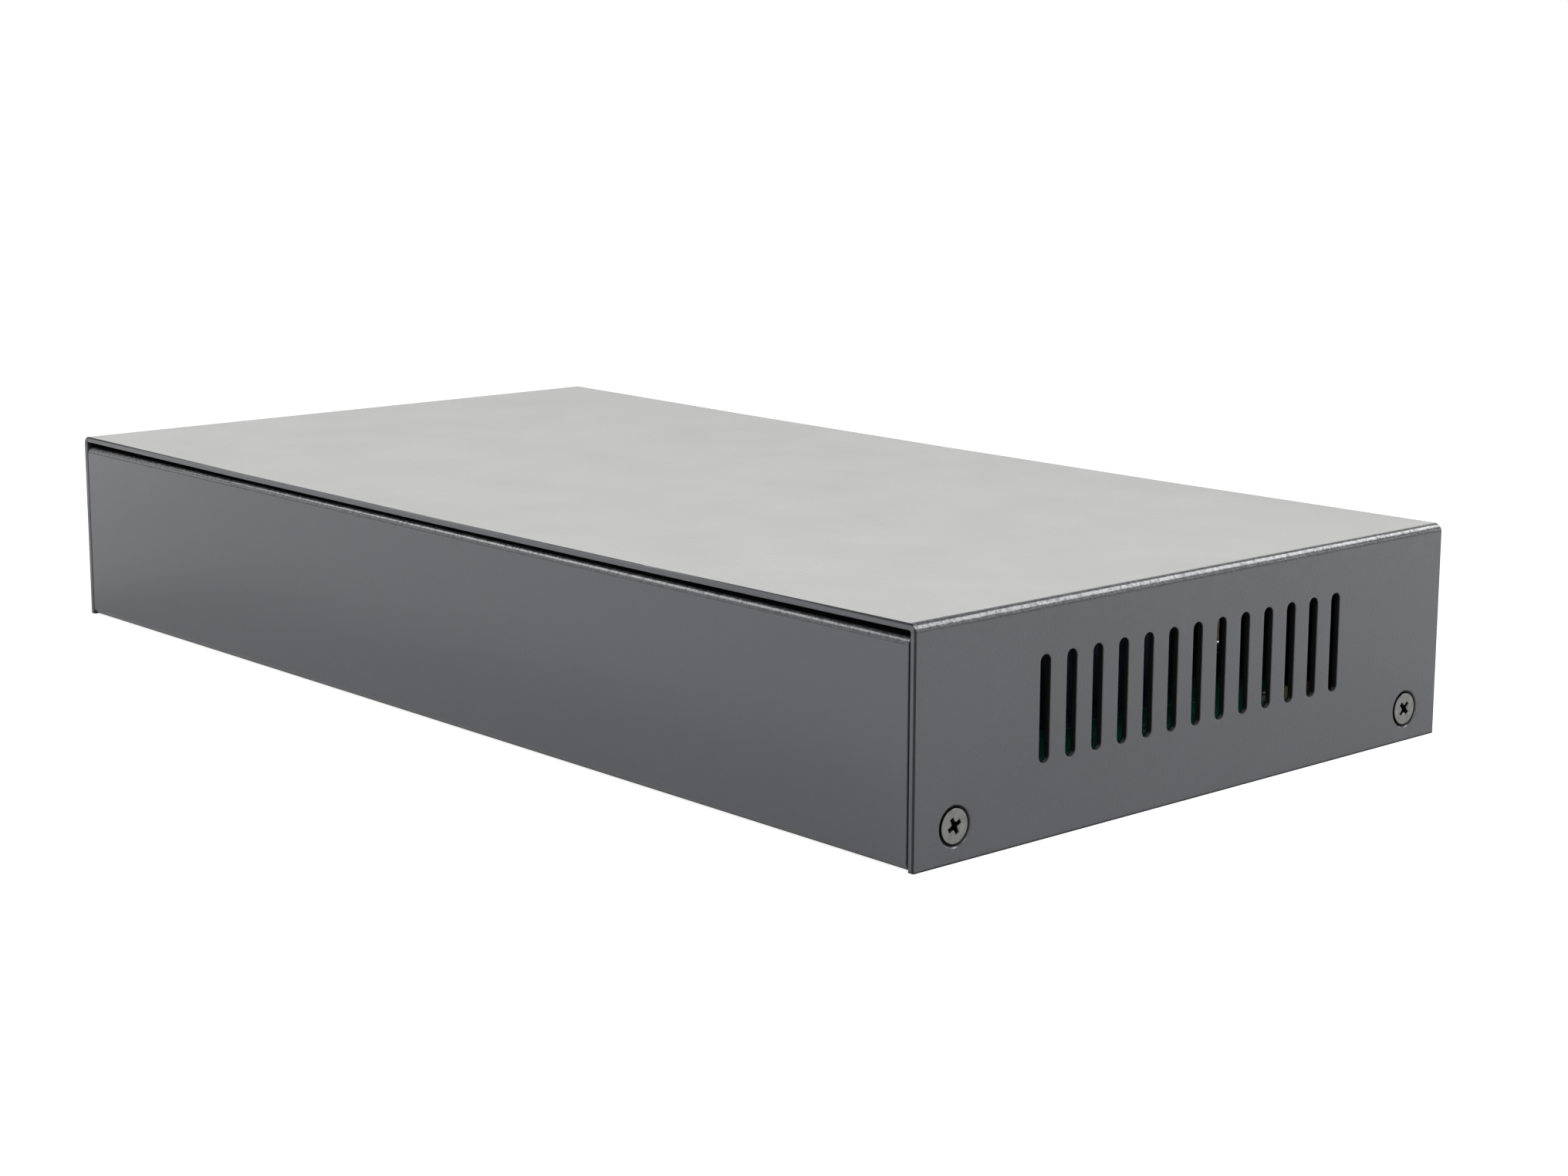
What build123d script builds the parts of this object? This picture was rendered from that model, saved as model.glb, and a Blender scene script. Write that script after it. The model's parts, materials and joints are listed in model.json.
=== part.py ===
from build123d import *
import math
import os

# A ten-port power-over-Ethernet desktop switch in a folded sheet-steel case.
# Millimetres. Z is up and the case stands on z = 0. The ports face -Y, the
# blank wall faces +Y, and the origin is under the middle of the case.

# Case, over its outer faces
case_width = 250.0
case_depth = 130.0
case_height = 38.0

# Painted steel sheet and its folds
sheet = 1.1
bend = 1.5
edge_round = 0.2
lid_sag = 0.45
lid_gap = 0.95
side_gap = 0.35
return_depth = 9.0
side_flange_height = 11.0
corner_relief = 1.6

# Ventilation slots in each short side
vent_count = 13
vent_pitch = 6.0
vent_width = 2.4
vent_length = 17.3
vent_centre_y = 0.9
vent_centre_z = 20.85

# Metric screws that hold the cover and the board
thread_diameter = 3.0
thread_gap = 0.05
recess_width = 0.85
recess_span = 2.9
recess_root = 0.25
recess_depth = 1.25
recess_taper = 12.0

# Countersunk cover screws, and the dimples that they sit in
cover_screw_inset = 8.8
cover_screw_z = 5.8
cover_screw_length = 6.0
cover_head_diameter = 5.5
cover_head_rim = 0.15
cover_screw_turns = [45.0, 27.0, 10.0, 62.0]
head_seat_gap = 0.1
head_sink = 0.05
dimple_mouth = 6.9
dimple_hole = 3.4
dimple_wall = 0.8
dimple_lip = 0.5
dimple_nest_gap = 0.25
thread_collar_diameter = 4.4
thread_collar_length = 2.7

# Keyholes for hanging the case on a wall
keyhole_spacing = 150.0
keyhole_y = -4.0
keyhole_head = 8.0
keyhole_slot = 4.2
keyhole_travel = 8.0

# Circuit board on clinched standoffs
board_thickness = 1.6
board_depth = 104.0
board_side_margin = 7.0
board_front_gap = 0.8
board_corner = 2.0
standoff_height = 6.0
standoff_across_flats = 5.6
standoff_shank = 4.2
standoff_shank_gap = 0.05
board_hole = 3.4
board_screw_side_inset = 3.6
board_screw_rear_inset = 5.0
board_screw_front_inset = 33.0
board_screw_length = 6.0
pan_head_diameter = 5.6
pan_head_height = 2.2
pan_head_shoulder = 0.7

# Parts on the board are placed from its front left corner: in from the left
# edge, and back from the front edge

# Ganged jacks, from left to right as seen from the front
port_pitch = 14.0
jack_end_wall = 0.9
jack_depth = 21.3
jack_height = 13.6
jack_recess = 0.2
jack_shell = 0.3
jack_cutout_gap = 0.35
uplink_ports = 2
poe_ports_per_jack = 4
jack_spacing = 8.0
first_jack_in = 42.0

# One port's cavity
cavity_width = 11.9
cavity_height = 6.9
cavity_depth = 15.0
cavity_top_wall = 2.7
latch_width = 6.2
latch_height = 1.5
latch_tip_width = 3.4
latch_tip_height = 1.2
contact_count = 8
contact_pitch = 1.02
contact_width = 0.45
contact_thickness = 0.3
contact_front = 2.2
contact_reach = 7.4
contact_drop = 2.3
jack_led_width = 3.2
jack_led_height = 1.5
jack_led_depth = 8.0
jack_led_spread = 9.2
jack_led_top_wall = 0.5
jack_led_gap = 0.05
jack_window_gap = 0.15

# Barrel power socket
dc_jack_in = 20.0
dc_jack_width = 9.2
dc_jack_depth = 14.0
dc_jack_height = 11.0
dc_axis_above_board = 5.6
dc_nose_diameter = 8.0
dc_nose_gap = 0.3
dc_bore_diameter = 6.3
dc_bore_depth = 10.0
dc_pin_diameter = 2.0
dc_pin_setback = 1.0

# Power lamp in its holder
lamp_in = 32.0
lamp_diameter = 3.0
lamp_panel_gap = 0.2
lamp_length = 6.5
lamp_holder_width = 4.8
lamp_holder_depth = 5.0
lamp_holder_top_wall = 1.0
lamp_axis_above_board = 5.6
lamp_gap = 0.05

# Network chip under its heat sink
chip_in = 126.0
chip_back = 71.0
chip_substrate = 21.0
chip_substrate_height = 0.7
chip_cap = 17.0
chip_cap_height = 1.0
chip_cap_chamfer = 0.4
pad_height = 0.5
sink_width = 32.0
sink_base = 3.0
sink_height = 14.0
sink_fin_count = 9
sink_fin_thickness = 1.4

# Transformer modules behind the jacks, one for each pair of ports
transformer_width = 21.0
transformer_depth = 14.5
transformer_height = 6.4
transformer_chamfer = 0.6
transformer_gap = 5.0

# Power parts near the left side
capacitor_diameter = 10.0
capacitor_height = 20.0
capacitor_groove = 0.6
capacitor_groove_height = 2.5
capacitor_shoulder = 0.7
capacitor_pitch = 12.5
capacitor_in = 20.0
capacitor_back = 46.0
capacitor_count = 3
inductor_width = 12.0
inductor_height = 7.0
inductor_corner = 2.6
inductor_dish = 8.6
inductor_dish_depth = 0.5
inductor_pitch = 16.0
inductor_in = 46.0
inductor_back = 83.0
inductor_count = 3

# Small parts on the board
controller_width = 9.0
controller_height = 0.9
controller_mark = 0.8
controller_in = 94.0
controller_pitch = 62.0
controller_back = 93.0
mosfet_width = 6.6
mosfet_depth = 6.1
mosfet_height = 2.3
mosfet_tab_depth = 1.6
mosfet_tab_height = 0.5
mosfet_back = 49.0
crystal_length = 11.0
crystal_width = 4.6
crystal_height = 3.6
crystal_in = 154.0
crystal_back = 77.0
flash_length = 5.2
flash_width = 5.2
flash_height = 1.9
flash_in = 154.0
flash_back = 66.0
ceramic_length = 3.2
ceramic_width = 1.8
ceramic_height = 2.3
ceramic_in = 4.3
ceramic_back = 15.7
ceramic_pitch = 5.9
ceramic_count = 3
header_pins = 4
header_pitch = 2.54
header_height = 2.5
header_pin_width = 0.64
header_pin_height = 8.5
header_in = 198.0
header_back = 91.0

# Places worked out from the sizes above
half_width = case_width / 2
half_depth = case_depth / 2
wall_top = case_height - sheet - lid_gap
tray_half_width = half_width - sheet - side_gap
dimple_depth = head_sink + cover_head_rim + (cover_head_diameter - dimple_hole) / 2 + head_seat_gap
dimple_slope = (dimple_mouth - dimple_hole) / 2 / dimple_depth
dimple_slant = math.hypot(1, dimple_slope)
cover_screw_ys = [-half_depth + cover_screw_inset, half_depth - cover_screw_inset]
board_bottom = sheet + standoff_height
board_top = board_bottom + board_thickness
board_half_width = half_width - board_side_margin
board_left = -board_half_width
board_front = -half_depth + sheet + board_front_gap
board_rear = board_front + board_depth
jack_front = -half_depth + jack_recess
cavity_top = board_top + jack_height - cavity_top_wall
cavity_bottom = cavity_top - cavity_height
uplink_width = uplink_ports * port_pitch + 2 * jack_end_wall
poe_width = poe_ports_per_jack * port_pitch + 2 * jack_end_wall
uplink_x = board_left + first_jack_in + uplink_width / 2
poe_1_x = uplink_x + uplink_width / 2 + jack_spacing + poe_width / 2
poe_2_x = poe_1_x + poe_width + jack_spacing
jacks = [
    ("uplink_jack", uplink_x, uplink_ports),
    ("poe_jack_1", poe_1_x, poe_ports_per_jack),
    ("poe_jack_2", poe_2_x, poe_ports_per_jack),
]
dc_jack_x = board_left + dc_jack_in
dc_axis_z = board_top + dc_axis_above_board
lamp_x = board_left + lamp_in
lamp_axis_z = board_top + lamp_axis_above_board
chip_x = board_left + chip_in
chip_y = board_front + chip_back
header_x = board_left + header_in
header_y = board_front + header_back
board_screw_places = [
    (x, y)
    for x in (board_left + board_screw_side_inset, poe_1_x, -board_left - board_screw_side_inset)
    for y in (board_front + board_screw_front_inset, board_rear - board_screw_rear_inset)
]


def block(x, y, z, width, depth, height):
    """A box centred on x and y that stands on z."""
    return Pos(x, y, z) * Box(width, depth, height, align=(Align.CENTER, Align.CENTER, Align.MIN))


def post(x, y, z, diameter, height):
    """An upright round bar centred on x and y that stands on z."""
    return Pos(x, y, z) * Cylinder(diameter / 2, height, align=(Align.CENTER, Align.CENTER, Align.MIN))


def turned(points):
    """A solid turned about Z from a closed outline of (radius, height) points."""
    outline = make_face(Polyline(*[(r, 0, z) for r, z in points], close=True))
    return revolve(outline, Axis.Z)


def rod_back(x, z, front, diameter, length):
    """A round bar that runs from the front towards +Y."""
    return Pos(x, front, z) * Rot(X=-90) * Cylinder(
        diameter / 2, length, align=(Align.CENTER, Align.CENTER, Align.MIN)
    )


def folded(plane, points, depth):
    """A strip of the sheet, folded along the middle line of its section."""
    path = FilletPolyline(*points, radius=bend - sheet / 2)
    return extrude(plane * trace(path, line_width=sheet), amount=depth / 2, both=True)


def screw_recess(depth):
    """The cross-shaped driver recess, sunk from z = 0."""
    cross = Rectangle(recess_span, recess_width) + Rectangle(recess_width, recess_span)
    roots = cross.vertices().filter_by(lambda corner: corner.center().length < recess_span / 3)
    cross = fillet(roots, recess_root)
    return extrude(cross, amount=-depth, taper=recess_taper)


def at_cover_screws(make, turns=(0, 0, 0, 0)):
    """Copies of a piece made about Z, with z = 0 on the case's side, at all cover screws."""
    places = [(side, y) for side in (-1, 1) for y in cover_screw_ys]
    return [
        Pos(side * half_width, y, cover_screw_z) * Rot(Y=side * 90) * Rot(Z=turn) * make()
        for (side, y), turn in zip(places, turns)
    ]


def arch(half, height, radius):
    """The cover's section down to one of its faces, with the sagging top."""
    left = Line((-half, 0), (-half, height - radius))
    left_fold = RadiusArc((-half, height - radius), (-half + radius, height), radius)
    top = ThreePointArc((-half + radius, height), (0, height - lid_sag), (half - radius, height))
    right_fold = RadiusArc((half - radius, height), (half, height - radius), radius)
    right = Line((half, height - radius), (half, 0))
    return make_face(left + left_fold + top + right_fold + right + Line((half, 0), (-half, 0)))


def dimple_radius(depth, offset):
    """The radius, at a depth below the cover's face, of a cone that lies offset below the countersink."""
    return dimple_mouth / 2 + offset * dimple_slant - depth * dimple_slope


def dimple_level(radius, offset):
    """The depth at which that cone has a radius."""
    return (dimple_mouth / 2 + offset * dimple_slant - radius) / dimple_slope


def cover_dimple_back():
    """The cone that the countersink pushes through to the cover's inner face."""
    root = sheet / 2
    near = dimple_radius(sheet, dimple_wall)
    end = dimple_depth + dimple_lip
    tip = dimple_radius(end, dimple_wall)
    return turned([(0, -root), (near, -root), (near, -sheet), (tip, -end), (0, -end)])


def cover_dimple_front():
    """The countersink and the hole through it."""
    hole = dimple_hole / 2
    through = 3 * sheet
    return turned([(0, 0), (dimple_mouth / 2, 0), (hole, -dimple_depth), (hole, -through), (0, -through)])


def tray_dimple_back():
    """The cone and tapped collar on the inner face of a tray flange."""
    offset = 2 * dimple_wall + dimple_nest_gap
    near = sheet + side_gap
    far = near + sheet
    root = dimple_radius(far, offset)
    collar = thread_collar_diameter / 2
    end = far + thread_collar_length
    return turned([
        (0, -near - sheet / 2),
        (root, -near - sheet / 2),
        (root, -far),
        (collar, -dimple_level(collar, offset)),
        (collar, -end),
        (0, -end),
    ])


def tray_dimple_front():
    """The seat for the cover's dimple, and the tapped hole."""
    offset = dimple_wall + dimple_nest_gap
    near = sheet + side_gap
    floor = dimple_depth + dimple_lip + dimple_nest_gap
    thread = thread_diameter / 2
    end = near + sheet + 2 * thread_collar_length
    return turned([
        (0, -near),
        (dimple_radius(near, offset), -near),
        (dimple_radius(floor, offset), -floor),
        (thread, -floor),
        (thread, -end),
        (0, -end),
    ])


def make_top_cover():
    section = arch(half_width, case_height, bend)
    section -= arch(half_width - sheet, case_height - sheet, bend - sheet)
    cover = extrude(Plane.XZ * section, amount=half_depth, both=True)
    ends = cover.faces().sort_by(Axis.Y)
    rims = ends[0].edges() + ends[-1].edges()
    cover = fillet(rims, min(edge_round, 0.3 * sheet))
    slot = Plane.YZ * SlotOverall(vent_length, vent_width, rotation=90)
    vent = extrude(slot, amount=half_width + sheet, both=True)
    first = vent_centre_y - (vent_count - 1) / 2 * vent_pitch
    cover -= [Pos(0, first + i * vent_pitch, vent_centre_z) * vent for i in range(vent_count)]
    cover += at_cover_screws(cover_dimple_back)
    cover -= at_cover_screws(cover_dimple_front)
    return cover


def keyhole():
    """A round mouth for a screw head, and the narrow slot that it hangs in."""
    mouth = post(0, 0, -sheet, keyhole_head, 3 * sheet)
    neck = block(0, keyhole_travel / 2, -sheet, keyhole_slot, keyhole_travel, 3 * sheet)
    return mouth + neck + post(0, keyhole_travel, -sheet, keyhole_slot, 3 * sheet)


def make_base_tray():
    middle = half_depth - sheet / 2
    high = wall_top - sheet / 2
    low = sheet / 2
    inner = half_depth - return_depth
    front = [(-inner, high), (-middle, high), (-middle, low)]
    rear = [(middle, low), (middle, high), (inner, high)]
    tray = folded(Plane.YZ, front + rear, 2 * tray_half_width)

    strip = bend + sheet
    notch = 2 * (half_depth - bend)
    flange_depth = notch - 2 * corner_relief
    for side in (-1, 1):
        edge = side * (tray_half_width - strip / 2)
        tray -= block(edge, 0, -sheet, strip, notch, 3 * sheet)
        outer = side * (tray_half_width - sheet / 2)
        corner = [(side * (tray_half_width - strip), low), (outer, low), (outer, side_flange_height)]
        tray += folded(Plane.XZ, corner, flange_depth)
    tray += at_cover_screws(tray_dimple_back)
    tray -= at_cover_screws(tray_dimple_front)

    for _, x, ports in jacks:
        width = ports * port_pitch + 2 * jack_end_wall + 2 * jack_cutout_gap
        height = jack_height + 2 * jack_cutout_gap
        tray -= block(x, -half_depth, board_top - jack_cutout_gap, width, 4 * sheet, height)
    outside = -half_depth - sheet
    tray -= rod_back(dc_jack_x, dc_axis_z, outside, dc_nose_diameter + 2 * dc_nose_gap, 3 * sheet)
    tray -= rod_back(lamp_x, lamp_axis_z, outside, lamp_diameter + 2 * lamp_panel_gap, 3 * sheet)
    shank_hole = standoff_shank + 2 * standoff_shank_gap
    tray -= [post(x, y, -sheet, shank_hole, 3 * sheet) for x, y in board_screw_places]
    tray -= [Pos(side * keyhole_spacing / 2, keyhole_y, 0) * keyhole() for side in (-1, 1)]
    return tray


def cover_screw():
    head = cover_head_diameter / 2
    shank = thread_diameter / 2 - thread_gap
    top = head_sink
    rim = top + cover_head_rim
    neck = rim + head - shank
    end = top + cover_screw_length
    body = turned([(0, -top), (head, -top), (head, -rim), (shank, -neck), (shank, -end), (0, -end)])
    return body - Pos(0, 0, -top) * screw_recess(recess_depth)


def make_cover_screws():
    return at_cover_screws(cover_screw, cover_screw_turns)


def make_board_standoffs():
    stands = []
    for x, y in board_screw_places:
        hexagon = RegularPolygon(standoff_across_flats / 2, 6, major_radius=False)
        stand = Pos(x, y, sheet) * extrude(hexagon, amount=standoff_height)
        stand += post(x, y, 0, standoff_shank, sheet)
        stands.append(stand - post(x, y, 0, thread_diameter, sheet + standoff_height))
    return stands


def make_board_screws():
    screws = []
    for x, y in board_screw_places:
        head = post(0, 0, 0, pan_head_diameter, pan_head_height)
        head = chamfer(head.edges().sort_by(Axis.Z)[-1], pan_head_shoulder)
        head -= Pos(0, 0, pan_head_height) * screw_recess(recess_depth)
        shank = post(0, 0, -board_screw_length, thread_diameter - 2 * thread_gap, board_screw_length)
        screws.append(Pos(x, y, board_top) * (head + shank))
    return screws


def make_main_board():
    middle = (board_front + board_rear) / 2
    outline = RectangleRounded(2 * board_half_width, board_depth, board_corner)
    board = Pos(0, middle, board_bottom) * extrude(outline, amount=board_thickness)
    board -= [post(x, y, board_bottom, board_hole, board_thickness) for x, y in board_screw_places]
    return board


def port_xs(x, ports):
    """The middles of a jack's ports."""
    return [x + (i - (ports - 1) / 2) * port_pitch for i in range(ports)]


def led_bar(x, gap):
    """A jack lamp's bar, or with a gap the channel that it slides into."""
    top = board_top + jack_height - jack_shell - jack_led_top_wall
    return block(
        x,
        jack_front + jack_led_depth / 2,
        top - jack_led_height - gap,
        jack_led_width + 2 * gap,
        jack_led_depth,
        jack_led_height + 2 * gap,
    )


def led_xs(x):
    """The middles of the two lamps above a port."""
    return [x - jack_led_spread / 2, x + jack_led_spread / 2]


def port_cavity(x, grow=0.0):
    """The space that one plug and its latch go into, or with grow the window in front of it."""
    y = jack_front + cavity_depth / 2
    step = cavity_bottom - latch_height
    tip = step - latch_tip_height
    wide = 2 * grow
    cavity = block(x, y, cavity_bottom - grow, cavity_width + wide, cavity_depth, cavity_height + wide)
    cavity += block(x, y, step - grow, latch_width + wide, cavity_depth, latch_height + wide)
    return cavity + block(x, y, tip - grow, latch_tip_width + wide, cavity_depth, latch_tip_height + wide)


def make_jack_housing(x, ports):
    """The moulded insert, with its plug cavities and lamp channels."""
    width = ports * port_pitch + 2 * jack_end_wall - 2 * jack_shell
    depth = jack_depth - 2 * jack_shell
    housing = block(x, jack_front + jack_depth / 2, board_top, width, depth, jack_height - jack_shell)
    for port_x in port_xs(x, ports):
        housing -= port_cavity(port_x)
        housing -= [led_bar(led_x, jack_led_gap) for led_x in led_xs(port_x)]
    return housing


def make_jack_shield(x, ports):
    """The tin shell, open underneath, with a window for each port and each lamp."""
    width = ports * port_pitch + 2 * jack_end_wall
    middle = jack_front + jack_depth / 2
    shield = block(x, middle, board_top, width, jack_depth, jack_height)
    inner_depth = jack_depth - 2 * jack_shell
    shield -= block(x, middle, board_top, width - 2 * jack_shell, inner_depth, jack_height - jack_shell)
    for port_x in port_xs(x, ports):
        shield -= port_cavity(port_x, jack_window_gap)
        shield -= [led_bar(led_x, jack_led_gap) for led_x in led_xs(port_x)]
    return shield


def make_jack_contacts(x, ports):
    """The sprung wires, doubled back along the top of each cavity."""
    back = jack_front + cavity_depth
    fold = jack_front + contact_front
    tip = fold + contact_reach
    under = cavity_top - contact_thickness
    drop = cavity_top - contact_drop
    side = Polyline(
        (back, cavity_top),
        (fold, cavity_top),
        (fold, under),
        (tip, drop),
        (tip + contact_thickness, drop + contact_thickness),
        (fold + 3 * contact_thickness, under),
        (back, under),
        close=True,
    )
    wire = extrude(Plane.YZ * make_face(side), amount=contact_width / 2, both=True)
    first = -(contact_count - 1) / 2 * contact_pitch
    return [
        Pos(port_x + first + i * contact_pitch, 0, 0) * wire
        for port_x in port_xs(x, ports)
        for i in range(contact_count)
    ]


def make_jack_leds():
    middles = [port_x for _, x, ports in jacks for port_x in port_xs(x, ports)]
    return [led_bar(led_x, 0) for port_x in middles for led_x in led_xs(port_x)]


def make_dc_jack_housing():
    body_front = -half_depth + sheet
    middle = body_front + dc_jack_depth / 2
    body = block(dc_jack_x, middle, board_top, dc_jack_width, dc_jack_depth, dc_jack_height)
    body += rod_back(dc_jack_x, dc_axis_z, jack_front, dc_nose_diameter, dc_jack_depth / 2)
    body -= rod_back(dc_jack_x, dc_axis_z, jack_front, dc_bore_diameter, dc_bore_depth)
    return body


def make_dc_jack_pin():
    length = dc_bore_depth - dc_pin_setback
    pin = rod_back(dc_jack_x, dc_axis_z, jack_front + dc_pin_setback, dc_pin_diameter, length)
    tip = pin.edges().sort_by(Axis.Y)[0]
    return fillet(tip, dc_pin_diameter / 4)


def make_power_lamp():
    lamp = rod_back(lamp_x, lamp_axis_z, -half_depth, lamp_diameter, lamp_length)
    tip = lamp.edges().sort_by(Axis.Y)[0]
    return fillet(tip, lamp_diameter / 3)


def make_power_lamp_holder():
    front = -half_depth + sheet + board_front_gap
    height = lamp_axis_above_board + lamp_diameter / 2 + lamp_holder_top_wall
    middle = front + lamp_holder_depth / 2
    holder = block(lamp_x, middle, board_top, lamp_holder_width, lamp_holder_depth, height)
    bore = lamp_diameter + 2 * lamp_gap
    return holder - rod_back(lamp_x, lamp_axis_z, -half_depth, bore, lamp_length)


def make_switch_chip():
    chip = block(chip_x, chip_y, board_top, chip_substrate, chip_substrate, chip_substrate_height)
    cap = block(chip_x, chip_y, board_top + chip_substrate_height, chip_cap, chip_cap, chip_cap_height)
    return chip + chamfer(cap.faces().sort_by(Axis.Z)[-1].edges(), chip_cap_chamfer)


def make_thermal_pad():
    width = chip_cap - 2 * chip_cap_chamfer
    bottom = board_top + chip_substrate_height + chip_cap_height
    return block(chip_x, chip_y, bottom, width, width, pad_height)


def make_heat_sink():
    bottom = board_top + chip_substrate_height + chip_cap_height + pad_height
    sink = block(chip_x, chip_y, bottom, sink_width, sink_width, sink_base)
    step = (sink_width - sink_fin_thickness) / (sink_fin_count - 1)
    first = chip_x - sink_width / 2 + sink_fin_thickness / 2
    fins = [
        block(first + i * step, chip_y, bottom, sink_fin_thickness, sink_width, sink_height)
        for i in range(sink_fin_count)
    ]
    return sink + fins


def make_port_transformers():
    pairs = [
        (left + right) / 2
        for _, x, ports in jacks
        for left, right in zip(port_xs(x, ports)[::2], port_xs(x, ports)[1::2])
    ]
    y = jack_front + jack_depth + transformer_gap + transformer_depth / 2
    modules = []
    for x in pairs:
        module = block(x, y, board_top, transformer_width, transformer_depth, transformer_height)
        modules.append(chamfer(module.faces().sort_by(Axis.Z)[-1].edges(), transformer_chamfer))
    return modules


def make_bulk_capacitors():
    """Radial capacitors, with the crimp above the base and a turned-in shoulder."""
    radius = capacitor_diameter / 2
    neck = radius - capacitor_groove
    low = capacitor_groove_height - capacitor_groove
    high = capacitor_groove_height + capacitor_groove
    can = turned([
        (0, 0),
        (radius, 0),
        (radius, low),
        (neck, capacitor_groove_height),
        (radius, high),
        (radius, capacitor_height - capacitor_shoulder),
        (radius - capacitor_shoulder, capacitor_height),
        (0, capacitor_height),
    ])
    first = board_front + capacitor_back
    return [
        Pos(board_left + capacitor_in, first + i * capacitor_pitch, board_top) * can
        for i in range(capacitor_count)
    ]


def make_power_inductors():
    outline = RectangleRounded(inductor_width, inductor_width, inductor_corner)
    core = extrude(outline, amount=inductor_height)
    core -= post(0, 0, inductor_height - inductor_dish_depth, inductor_dish, inductor_dish_depth)
    first = board_left + inductor_in
    y = board_front + inductor_back
    return [Pos(first + i * inductor_pitch, y, board_top) * core for i in range(inductor_count)]


def make_poe_controllers():
    chip = block(0, 0, 0, controller_width, controller_width, controller_height)
    corner = chip.edges().filter_by(Axis.Z).sort_by(Axis.X)[0]
    chip = chamfer(corner, controller_mark)
    first = board_left + controller_in
    y = board_front + controller_back
    return [Pos(first + i * controller_pitch, y, board_top) * chip for i in range(2)]


def make_port_mosfets():
    body = block(0, 0, 0, mosfet_width, mosfet_depth, mosfet_height)
    tab_y = (mosfet_depth + mosfet_tab_depth) / 2
    tab = block(0, tab_y, 0, mosfet_width, mosfet_tab_depth, mosfet_tab_height)
    fed_xs = port_xs(poe_1_x, poe_ports_per_jack) + port_xs(poe_2_x, poe_ports_per_jack)
    return [Pos(x, board_front + mosfet_back, board_top) * (body + tab) for x in fed_xs]


def make_clock_crystal():
    can = extrude(SlotOverall(crystal_length, crystal_width), amount=crystal_height)
    can = fillet(can.faces().sort_by(Axis.Z)[-1].edges(), crystal_height / 6)
    return Pos(board_left + crystal_in, board_front + crystal_back, board_top) * can


def make_flash_memory():
    x = board_left + flash_in
    y = board_front + flash_back
    body = block(x, y, board_top, flash_length, flash_width, flash_height)
    return chamfer(body.faces().sort_by(Axis.Z)[-1].edges(), flash_height / 8)


def make_ceramic_capacitors():
    x = board_left + ceramic_in
    y = board_front + ceramic_back
    chip = block(x, y, board_top, ceramic_width, ceramic_length, ceramic_height)
    return [Pos(0, i * ceramic_pitch, 0) * chip for i in range(ceramic_count)]


def header_xs():
    return [header_x + (i - (header_pins - 1) / 2) * header_pitch for i in range(header_pins)]


def make_service_header():
    base = block(header_x, header_y, board_top, header_pins * header_pitch, header_pitch, header_height)
    hole = header_pin_width
    return base - [block(x, header_y, board_top, hole, hole, header_height) for x in header_xs()]


def make_service_header_pins():
    width = header_pin_width
    return [block(x, header_y, board_top, width, width, header_pin_height) for x in header_xs()]


pieces = {
    "top_cover": make_top_cover(),
    "base_tray": make_base_tray(),
    "cover_screws": make_cover_screws(),
    "board_standoffs": make_board_standoffs(),
    "main_board": make_main_board(),
    "board_screws": make_board_screws(),
    "jack_leds": make_jack_leds(),
    "dc_jack_housing": make_dc_jack_housing(),
    "dc_jack_pin": make_dc_jack_pin(),
    "power_lamp": make_power_lamp(),
    "power_lamp_holder": make_power_lamp_holder(),
    "switch_chip": make_switch_chip(),
    "thermal_pad": make_thermal_pad(),
    "heat_sink": make_heat_sink(),
    "port_transformers": make_port_transformers(),
    "bulk_capacitors": make_bulk_capacitors(),
    "power_inductors": make_power_inductors(),
    "poe_controllers": make_poe_controllers(),
    "port_mosfets": make_port_mosfets(),
    "clock_crystal": make_clock_crystal(),
    "flash_memory": make_flash_memory(),
    "ceramic_capacitors": make_ceramic_capacitors(),
    "service_header": make_service_header(),
    "service_header_pins": make_service_header_pins(),
}
for jack_name, jack_x, jack_ports in jacks:
    pieces[jack_name + "_housing"] = make_jack_housing(jack_x, jack_ports)
    pieces[jack_name + "_shield"] = make_jack_shield(jack_x, jack_ports)
    pieces[jack_name + "_contacts"] = make_jack_contacts(jack_x, jack_ports)

os.makedirs("parts", exist_ok=True)
for node, piece in pieces.items():
    whole = Compound(children=list(piece)) if isinstance(piece, list) else piece
    export_step(whole, f"parts/{node}.step")
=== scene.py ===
import json
import math

import bpy
from bpy.props import FloatProperty, FloatVectorProperty, PointerProperty
from mathutils import Matrix, Vector


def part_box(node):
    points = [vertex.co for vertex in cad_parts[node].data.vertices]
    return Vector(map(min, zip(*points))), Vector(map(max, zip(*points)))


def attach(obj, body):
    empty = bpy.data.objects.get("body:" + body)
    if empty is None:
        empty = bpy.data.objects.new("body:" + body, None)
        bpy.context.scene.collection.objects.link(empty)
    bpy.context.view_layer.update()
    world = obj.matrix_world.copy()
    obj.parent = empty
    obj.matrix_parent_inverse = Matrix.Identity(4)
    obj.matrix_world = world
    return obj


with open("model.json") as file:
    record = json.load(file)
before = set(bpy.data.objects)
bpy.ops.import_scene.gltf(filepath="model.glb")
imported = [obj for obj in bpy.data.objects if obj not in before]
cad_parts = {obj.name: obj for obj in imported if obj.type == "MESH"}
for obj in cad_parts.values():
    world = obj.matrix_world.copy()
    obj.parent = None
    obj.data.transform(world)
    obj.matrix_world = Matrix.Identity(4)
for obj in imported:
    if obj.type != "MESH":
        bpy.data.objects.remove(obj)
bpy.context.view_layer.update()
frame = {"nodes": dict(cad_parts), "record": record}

bl_info = {
    "name": "Network Switch in a Folded Steel Case",
    "version": (1, 0, 0),
    "blender": (4, 5, 0),
    "location": "3D View > Sidebar > Switch",
    "description": "Finishes, printing and a studio for a ten-port desktop switch",
    "category": "Object",
}

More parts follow.
